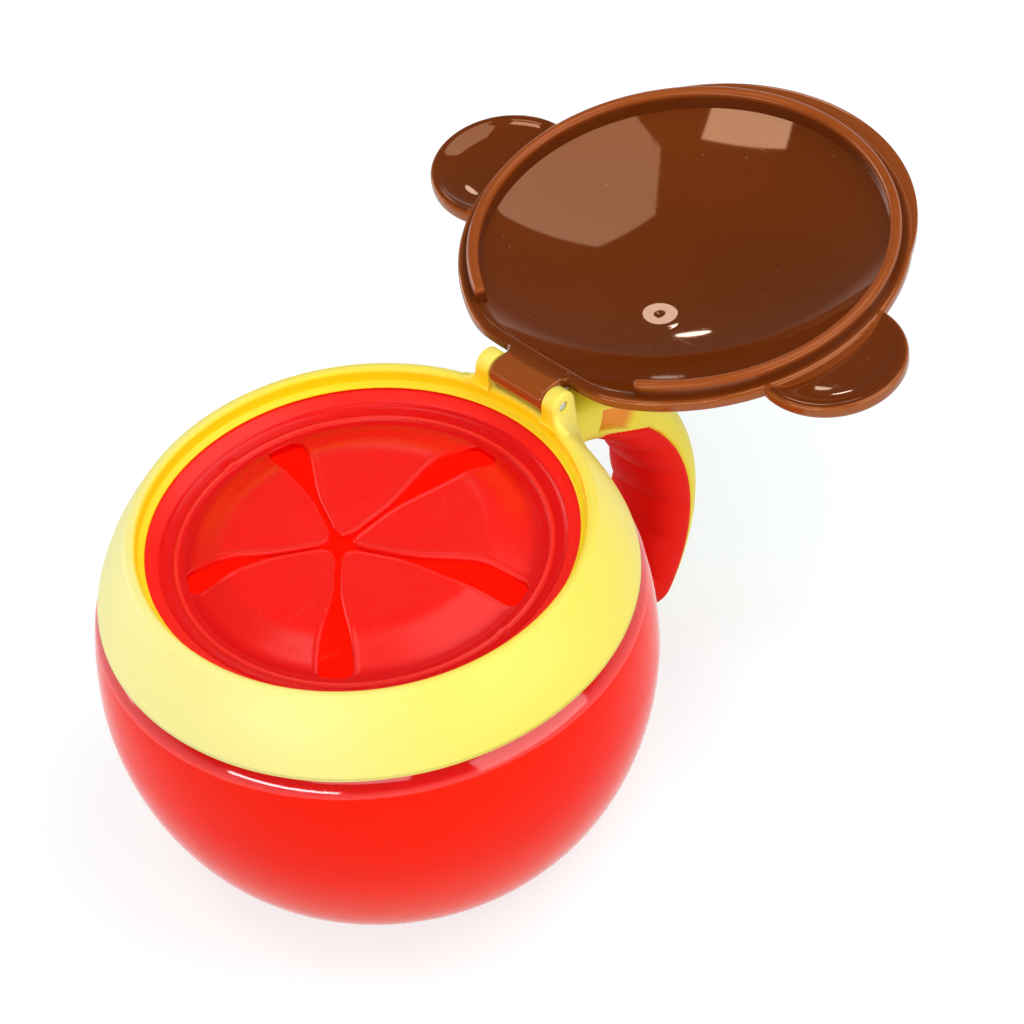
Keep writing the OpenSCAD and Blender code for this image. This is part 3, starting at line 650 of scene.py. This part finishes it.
# Insert ring. One soft red rubber disc is clamped between collar and neck. From the outside it
# steps down to a fine bead and a moat round the flaps, with a skirt that seals inside the neck.
# Three small moulding marks stand on the bead.
skin_t, moat_z, edge_z = 1.3, 61.5, 63.6
bead_r, foot_r, step_r, web_r = 33.2, 32.0, 36.05, 31.3
skirt_ro, skirt_ri, skirt_z = 40.19, 38.89, 57.4
ring_line = eased([
    (web_r, moat_z - 1.0), (web_r, moat_z - 0.05, 0.3), (32.3, moat_z, 0.3),
    (bead_r - 0.62, moat_z, 0.25), (bead_r - 0.38, moat_z + 0.4, 0.25),
    (bead_r, moat_z + 0.62, 0.3), (bead_r + 0.38, moat_z + 0.4, 0.25),
    (bead_r + 0.62, moat_z + 0.12, 0.25), (step_r - 0.55, edge_z - 1.5, 0.5),
    (step_r - 0.05, edge_z - 0.95, 0.3), (ledge_r, edge_z, 0.3), (41.56, edge_z, 0.3),
    (neck_r, clamp_z + 0.3, 0.3), (neck_r, clamp_z, 0.2), (skirt_ro, clamp_z, 0.2),
    (skirt_ro, skirt_z, 0.5),
    (skirt_ri, skirt_z, 0.5), (skirt_ri, 60.2, 0.8), (step_r + 0.6, edge_z - 1 - skin_t, 0.8),
    (bead_r + 0.8, moat_z - skin_t, 0.6), (web_r, moat_z - skin_t, 0.3), (web_r, moat_z - 1.0)])
ring = turned(ring_line, 360)
top_side = (np.arange(len(ring_line)) < 62) * (ring_line[:, 1] > 60.3)
for mark_a, mark_r, mark_h, mark_w in ((0.6, 33.4, 0.5, 0.9), (180.4, 33.6, 0.5, 1.0),
                                       (61.3, 33.5, 0.4, 0.35)):
    mark_a = math.radians(mark_a)
    off = np.hypot(ring[..., 0] - mark_r * math.cos(mark_a),
                   ring[..., 1] - mark_r * math.sin(mark_a)) / mark_w
    ring[..., 2] += mark_h * (np.exp(-off ** 4) - 0.7 * np.exp(-(off / 0.45) ** 2)) * top_side

soft_red, skin, here = start_finish("soft_red_skin", {
    "Specular IOR Level": 0.26, "Subsurface Weight": 0.1, "Subsurface Radius": (1.0, 0.10, 0.05),
    "Subsurface Scale": 0.0025})
away, cloud = from_axis(here), here.noise(90.0, 4.0)
streaks = here.node("ShaderNodeMapping", {}, {
    "Vector": here, "Scale": (900, 120, 900), "Rotation": (0, 0, 0.6)}).noise(1.0, 2.0)
pad = cloud.tint((0.90, 0.007, 0.003), (0.95, 0.012, 0.006))
# A thin lighter line on the bead: a painted highlight.
bead_painted_highlight = away.ramp(0.0324, 0.0331) * (1 - away.ramp(0.0333, 0.0340))
# The moat and the step down to it are painted darker: painted shade.
skin_with_painted_light = away.ramp(0.0285, 0.0312).tint(pad, (0.78, 0.001, 0.001))
# Beyond the step the band is the full red again; the bead carries its painted highlight.
skin_with_painted_light = away.ramp(0.0360, 0.0364).tint(bead_painted_highlight.tint(skin_with_painted_light, (0.95, 0.03, 0.02)),
                                       (0.96, 0.012, 0.005))
specks = here.noise(1500.0, 1.0).ramp(0.72, 0.78) * 0.35
specks.tint(skin_with_painted_light, (0.92, 0.16, 0.12)).into(skin, "Base Color")
(0.24 + cloud * 0.12 + streaks.ramp(0.55, 0.75) * 0.12).into(skin, "Roughness")
dented(skin, cloud + streaks, 0.12, 0.00012)
fit(cast("insert_rim", ring, wrap_u=True), soft_red, "insert", "insert_rubber", "flap_ring")


# Flaps. Five domed petals of the same skin reach in from the moat to a point off the middle,
# and bend down at their roots. Their slots open outwards into windows with round ends, and
# every slot edge is a fine raised lip. Each petal is a closed skin, from its tip to the moat.
star = np.array([-1.9, -3.7])
slot_half, window_half, widen, window_end = 0.36, 3.0, (10.0, 27.5), (29.8, 1.9)
crest_h, flat_r, edge_out, crown_r = 3.4, 21.0, 31.8, 16.0
tip_in, tip_round, edge_round = 2.6, 2.2, 0.45
lip_up, lip_in, lip_w, lip_end, root_in = 0.22, 0.62, 0.34, 31.2, 0.15


def skin_z(r):
    """Top of the skin at radius r: crest_h above the moat out to flat_r, then a long rounded
    shoulder that falls into the moat at edge_out as half a cosine, and a slight dip in the
    middle of the disc."""
    out = np.clip((r - flat_r) / (edge_out - flat_r), 0, 1) ** 1.12
    dip = 0.5 * np.clip(1 - r / crown_r, 0, 1) ** 2
    return moat_z + crest_h * (0.5 + 0.5 * np.cos(math.pi * out)) - dip


def slot_edge(k, side, d):
    """A slot's edge at distance d from the star point: its line, moved aside by half of the
    slot's width there. That grows smoothly from slot_half to window_half, and closes again as
    a quarter circle at the window's end."""
    a = math.radians(90 + 72 * k)
    s = foot_r * np.array([math.cos(a), math.sin(a)]) - star
    s /= np.linalg.norm(s)
    line = star + s * d[:, None]
    opened = soft_step((d - widen[0]) / (widen[1] - widen[0]))
    out = np.clip((np.hypot(*line.T) - window_end[0]) / window_end[1], 0, 1)
    gape = slot_half + (window_half - slot_half) * opened * np.sqrt(1 - out ** 2)
    return line + side * np.array([-s[1], s[0]]) * gape[:, None]


tip_rows, side_rows, inner_cols = 13, 71, 30
lip_off = np.array([0, 0.04, 0.12, 0.22, 0.34, 0.46, 0.6, 0.78, 0.98, 1.25, 1.6])
s = np.concatenate([np.linspace(0, 0.08, tip_rows + 1)[:-1], np.linspace(0.08, 1, side_rows)])
probe = np.linspace(5, 45, 2000)
for k in range(5):
    ends = [np.interp(foot_r + 0.35, np.hypot(*slot_edge(j, side, probe).T), probe)
            for j, side in ((k, 1), (k + 1, -1))]
    e0 = slot_edge(k, 1, tip_in + (ends[0] - tip_in) * s)
    e1 = slot_edge(k + 1, -1, tip_in + (ends[1] - tip_in) * s)
    # Columns lie close together along both edges, where the lip is, and even between.
    width = np.linalg.norm(e1 - e0, axis=1)[:, None]
    near = np.minimum(lip_off[None] / width, 0.45 * lip_off[None] / lip_off[-1])
    between = near[:, -1:] + (1 - 2 * near[:, -1:]) * np.linspace(0, 1, inner_cols)[None, 1:-1]
    across_t = np.concatenate([near, between, 1 - near[:, ::-1]], 1)
    # Rows are straight near the tip and bow into circles round the ring's middle.
    flat = e0[:, None] + (e1 - e0)[:, None] * across_t[..., None]
    r = np.hypot(*e0.T)[:, None] * (1 - across_t) + np.hypot(*e1.T)[:, None] * across_t
    a0, a1 = np.arctan2(e0[:, 1], e0[:, 0]), np.arctan2(e1[:, 1], e1[:, 0])
    a1 = a0 + (a1 - a0) % (2 * math.pi)
    angle = a0[:, None] * (1 - across_t) + a1[:, None] * across_t
    arc = np.stack([r * np.cos(angle), r * np.sin(angle)], -1)
    bowed = soft_step((s - 0.35) / 0.55)[:, None, None]
    plan = flat * (1 - bowed) + arc * bowed
    from_tip = s[:, None] * (ends[0] + ends[1]) / 2
    wide = 1 - corner_drop(from_tip / tip_round)
    centre = (e0 + e1)[:, None] / 2
    plan = centre + (plan - centre) * wide[..., None]
    edge = np.minimum(np.minimum(across_t, 1 - across_t) * width * wide, from_tip)
    drop = edge_round * corner_drop(edge / edge_round)
    radius = np.hypot(plan[..., 0], plan[..., 1])
    root = soft_step((radius - edge_out + 0.5) / 0.6) * root_in
    rim = lip_up * np.exp(-((edge - lip_in) / lip_w) ** 2) * soft_step((lip_end - radius) / 1.5)
    top = np.concatenate([plan, (skin_z(radius) + rim - drop - root)[..., None]], -1)
    low = np.concatenate([plan, (skin_z(radius) - skin_t + drop)[..., None]], -1)
    loop = np.concatenate([top, low[:, ::-1]], 1)
    petal = cast(f"petal_{k + 1}", capped(loop)[1:])
    petal.data.materials.append(soft_red)
    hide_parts(f"flap_{k + 1}")
    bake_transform(petal)


# Lid shell. A shallow brown dome with a flat flange, moulded in one shot and drawn here closed,
# then swung open on its pin. The dish is cut straight at the hinge. One grid of rings runs from
# the middle of the dish, with its gate mark, over the flange's edge to the top of the dome.
flange_z, flange_r, flange_t, dish_r, dish_h, lid_wall = 67.7, 41.0, 2.4, 38.7, 12.0, 1.8
ledge_y, flange_y, open_a = 36.2, 38.35, math.radians(-178.85)
dome_ri = (dish_r ** 2 + dish_h ** 2) / (2 * dish_h)
dome_z = flange_z + dish_h - dome_ri
gate_y, gate_r, gate_edge, gate_dot, gate_deep = 8.3, 5.0, 2.2, 0.5, 0.12
heel, heel_x, heel_w, sill_in, sill_out = 1.1, 6.1, 1.7, 0.25, 0.45


def swung(p):
    """Closed points turned about the pin, an axis along X, to the open position."""
    y, z = p[..., 1] - pin_y, p[..., 2] - pin_z
    return np.stack([p[..., 0], pin_y + y * math.cos(open_a) - z * math.sin(open_a),
                     pin_z + y * math.sin(open_a) + z * math.cos(open_a)], -1)


def cut_straight(radius, at_y, a, sharp):
    """A circle with its side at y = at_y cut off: (R^-n + (y / sin a)^-n)^(-1/n)."""
    chord = np.maximum(np.sin(a), 1e-3) / at_y
    return (radius ** -sharp + chord ** sharp) ** (-1 / sharp)


a = np.linspace(0, 2 * math.pi, 400, endpoint=False)[:, None]
a = a + 0.7 * np.cos(a)
well_r = cut_straight(dish_r, ledge_y, a, 60.0)
edge_r = cut_straight(flange_r, flange_y, a, 70.0)
beside = np.abs(edge_r * np.cos(a))
near_hinge = (np.sin(a) > 0) * (1 - np.clip((beside - heel_x) / heel_w, 0, 1))
edge_r = edge_r + heel * near_hinge ** 2.2
rings = np.concatenate([[0, 1, 2], np.arange(3, 14, 0.4), np.arange(14.5, 38, 1.5)])
dish_rings = well_r * np.concatenate([rings / 38.2, [0.985]])[None]
dish_z = dome_z + np.sqrt(dome_ri ** 2 - dish_rings ** 2)
gate = np.hypot(dish_rings * np.cos(a), dish_rings * np.sin(a) - gate_y)
gate_h = math.sqrt(dome_ri ** 2 - gate_y ** 2)
gate_z = dome_z + gate_h - gate_y / gate_h * (dish_rings * np.sin(a) - gate_y)
dish_z = dish_z + (gate_z - dish_z) * soft_step((gate_r - gate) / gate_edge)
dish_z = dish_z - gate_deep * np.exp(-(gate / gate_dot) ** 2)
q = np.linspace(0, math.pi / 2, 7)[None]
sill_r = well_r + sill_out
sill = np.concatenate([well_r - sill_in + sill_in * np.sin(q), sill_r - sill_out * np.cos(q)], 1)
sill_z = np.concatenate([dish_z[:, -1:] - sill_in * (1 - np.cos(q)) - 0.05,
                         flange_z + sill_out - sill_out * np.sin(q) + 0 * well_r], 1)
under = sill_r + (edge_r - 0.8 - sill_r) * np.array([[0.3, 0.6]])
flange = np.concatenate([under, edge_r - 0.8 + 0.8 * np.sin(q), edge_r - 0.7 + 0.7 * np.cos(q)], 1)
flange_h = np.concatenate([flange_z + 0 * under, flange_z + 0.8 - 0.8 * np.cos(q) + 0 * edge_r,
                           flange_z + flange_t - 0.7 + 0.7 * np.sin(q) + 0 * edge_r], 1)
crown_foot = np.minimum(37.9, edge_r - 1.2)
outer = crown_foot * np.linspace(1, 0, 30)[None] ** 0.8
outer_z = dome_z + np.sqrt((dome_ri + lid_wall) ** 2 - outer ** 2)
outer_z = outer_z - 0.1 * np.exp(-(crown_foot - outer) / 0.8)
all_r = np.concatenate([dish_rings, sill, flange, outer], 1)
all_z = np.concatenate([dish_z, sill_z, flange_h, outer_z], 1)
shell = np.stack([all_r * np.cos(a), all_r * np.sin(a), all_z], -1)


def shut_place(here):
    """The place of a point of the lid with the lid shut: turned back about the pin."""
    s, c = math.sin(open_a), math.cos(open_a)
    back = (0, (pin_y - pin_y * c - pin_z * s) / 1000, (pin_z + pin_y * s - pin_z * c) / 1000)
    return here.node("ShaderNodeMapping", {}, {
        "Vector": here, "Rotation": (-open_a, 0, 0), "Location": back})


tab_r, tab_x, tab_y = 14.0, 39.8, 5.0
brown_gloss, lacquer, here = start_finish("glossy_brown_plastic", {
    "IOR": 1.5, "Specular IOR Level": 0.85, "Specular Tint": (1.0, 0.56, 0.32, 1)})
shut = shut_place(here)
away, shut_y = from_axis(shut), shut.axis(1)
beside_tab = here.maths("ABSOLUTE", shut.axis(0)) - tab_x / 1000
above_tab = shut_y - tab_y / 1000
tab_away = here.maths("SQRT", beside_tab * beside_tab + above_tab * above_tab)
# The flange's edge, the tabs' rims and the knuckle are painted lighter: painted light through the
# thin plastic.
edge_painted_light = (away.ramp(0.0398, 0.0408) * (1 - away.ramp(0.0412, 0.0416))
             + away.ramp(0.0405, 0.0411) * tab_away.ramp(0.0132, 0.0138)
             + shut_y.ramp(0.0375, 0.0412) * 0.55)
dust = here.noise(1100.0, 2.0)
scratch = here.node("ShaderNodeMapping", {}, {
    "Vector": here, "Scale": (40, 900, 900), "Rotation": (0.3, 0.2, 0.9)}).noise(1.0, 2.0)
lid_brown = here.noise(30.0, 3.0).tint((0.135, 0.023, 0.0015), (0.165, 0.031, 0.003))
# The flow clouds are the lid's own colour; the lighter edges over them are painted light.
lid_brown = here.maths("MINIMUM", edge_painted_light, 1.0).tint(lid_brown, (0.30, 0.066, 0.010))
(dust.ramp(0.72, 0.80) * 0.35).tint(lid_brown, (0.45, 0.25, 0.18)).into(lacquer, "Base Color")
(0.05 + scratch.ramp(0.64, 0.76) * 0.12 + dust.ramp(0.70, 0.8) * 0.2).into(lacquer, "Roughness")
dented(lacquer, here.noise(28.0, 1.0), 0.04, 0.0006)
fit(cast("lid_shell", swung(shell), wrap_u=True, wrap_v=False), brown_gloss, "lid", "lid_plastic",
    "lid")


# Plug lip. A round-crested wall, moulded with the lid, stands inside the flange and seals in
# the mouth. It is left out at the hinge, where its two ends are cut square. Its section is
# carried round the axis.
lip_r, lip_t, lip_h, lip_gap, lip_steps = 39.2, 2.2, 2.7, math.radians(30), 300
crest, foot = lip_t / 2, lip_r - lip_t
q = np.linspace(2 * math.pi, math.pi, 15)
lip_line = np.concatenate([
    [[lip_r, flange_z + 0.8], [lip_r, flange_z + 0.2]],
    np.column_stack([lip_r - crest + crest * np.cos(q),
                     flange_z - lip_h + crest + crest * np.sin(q)]),
    [[foot, flange_z], [foot - 0.15, flange_z + 1.2], [foot, flange_z + 2.4]]])
a = np.linspace(math.pi / 2 + lip_gap, 5 * math.pi / 2 - lip_gap, lip_steps)[:, None]
from_end = np.minimum(np.arange(lip_steps), np.arange(lip_steps)[::-1])
ease = np.clip(from_end / 2, 0, 1)[:, None]
mid = lip_line.mean(0)
r = mid[0] + (lip_line[:, 0][None] - mid[0]) * (0.86 + 0.14 * ease)
z = mid[1] + (lip_line[:, 1][None] - mid[1]) * (0.92 + 0.08 * ease)
lip = capped(np.stack([r * np.cos(a), r * np.sin(a), z], -1))

brown_edge, thin, here = start_finish("brown_plastic_rims", {
    "Specular Tint": (1.0, 0.6, 0.4, 1), "Subsurface Weight": 0.2,
    "Subsurface Radius": (1.0, 0.35, 0.1), "Subsurface Scale": 0.0015})
cloud = here.noise(80.0, 3.0)
# The crest is painted lighter, a painted highlight, and the lip's walls darker, painted shade.
crest_painted_light_mask = 1 - shut_place(here).axis(2).ramp(0.0654, 0.0668)
crest_painted_highlight = cloud.tint((0.29, 0.058, 0.006), (0.35, 0.075, 0.010))
crest_painted_light_mask.tint((0.13, 0.025, 0.004), crest_painted_highlight).into(thin, "Base Color")
(0.2 + cloud * 0.1).into(thin, "Roughness")
fit(cast("plug_lip", swung(lip)), brown_edge, "lid", "lid_plastic", "lid")


# Thumb edge. In front, the lid's moulding grows into a crescent to push it open with. Its
# outline is a smaller circle set forward, R = c cos b + sqrt(r^2 - c^2 sin^2 b), past the
# flange's edge.
thumb_r, thumb_shift, thumb_half = 38.0, 5.7, math.radians(74)
thumb_root, thumb_least = 39.0, 39.8
b = np.linspace(-thumb_half, thumb_half, 160)[:, None]
reach_r = thumb_shift * np.cos(b) + np.sqrt(thumb_r ** 2 - (thumb_shift * np.sin(b)) ** 2)
reach_r = np.maximum(reach_r, thumb_least)
lobe = eased([(0, 0.55), (0.35, 0.45), (0.8, 0.2, 0.15), (1, 0.25, 0.12), (1, 1.7, 0.15),
              (0.82, 2.1, 0.15), (0, 2.1)])
r = thumb_root + (reach_r - thumb_root) * lobe[:, 0][None]
z = flange_z + lobe[:, 1][None] + 0 * r
crescent = capped(np.stack([r * np.sin(b), -r * np.cos(b), z], -1))
fit(cast("thumb_edge", swung(crescent)), brown_gloss, "lid", "lid_plastic", "lid")


# Side tabs. A round tab, moulded with the lid, stands out on each side, dished on its inner
# face inside a fine rim. A disc's profile is turned about its own middle, and what would lie
# in the lid's dish is pushed out to the flange, so that it joins there.
hollow_r, hollow_deep, tab_least = np.linspace(0, 12.3, 30), 1.9, 39.7
tab_line = np.concatenate([
    np.column_stack([hollow_r, hollow_deep * (1 - (hollow_r / 12.6) ** 4.5)]),
    eased([(12.5, 0.03), (13.1, -0.05, 0.3), (13.75, 0.05, 0.3), (tab_r, 0.6, 0.4),
           (tab_r, 2.1, 0.4), (13.5, 2.75, 0.4), (8, 3.3, 2), (0, 3.4)], 6)])
for side in (-1, 1):
    disc = turned(tab_line, 180)
    x, y = disc[..., 0] + side * tab_x, disc[..., 1] + tab_y
    push = np.maximum(1, tab_least / np.hypot(x, y))
    disc = np.stack([x * push, y * push, disc[..., 2] + flange_z], -1)
    tab = cast("tab_right" if side > 0 else "tab_left", swung(disc), wrap_u=True, wrap_v=False)
    fit(tab, brown_gloss, "lid", "lid_plastic", "lid")


# Knuckle. A block of the lid's plastic reaches from its straight edge between the lugs and ends
# in the barrel round the pin. Its outline in the Y-Z plane is carried along X, and both of its
# ends are rounded.
barrel_r, barrel_half, end_round = 2.6, 6.4, 0.5
dent_deep, dent_x, dent_y, dent_w = 0.3, -3.2, ledge_y + 2.4, 1.5
q = np.linspace(-math.pi / 2, math.pi / 2, 24)
block_line = np.concatenate([
    [[ledge_y + 0.9, flange_z + 0.3], [ledge_y + 1.4, flange_z + 0.02],
     [pin_y - 2.5, flange_z + 0.02]],
    np.column_stack([pin_y + barrel_r * np.cos(q), pin_z + barrel_r * np.sin(q)]),
    [[pin_y - 2.0, pin_z + 2.2], [ledge_y + 1, pin_z + 1.0], [ledge_y + 0.4, pin_z - 0.5]]])
ends = np.array([0, 0.06, 0.16, 0.3, 0.5])
x = np.concatenate([-barrel_half + ends, np.linspace(-barrel_half + 1, barrel_half - 1, 24),
                    barrel_half - ends[::-1]])[:, None]
inset = end_round * corner_drop((barrel_half - np.abs(x)) / end_round)
mid = np.array([pin_y - 1.6, pin_z])
outwards = block_line - mid
grow = 1 - inset / np.linalg.norm(outwards, axis=1)[None]
block = mid + outwards[None] * grow[..., None]
y, z = block[..., 0], block[..., 1]
dent = np.exp(-((x - dent_x) / dent_w) ** 2 - ((y - dent_y) / dent_w) ** 2) * (z < pin_z)
block = capped(np.stack([x + 0 * grow, y, z + dent_deep * dent], -1))
fit(cast("knuckle", swung(block)), brown_gloss, "lid", "lid_plastic", "lid")
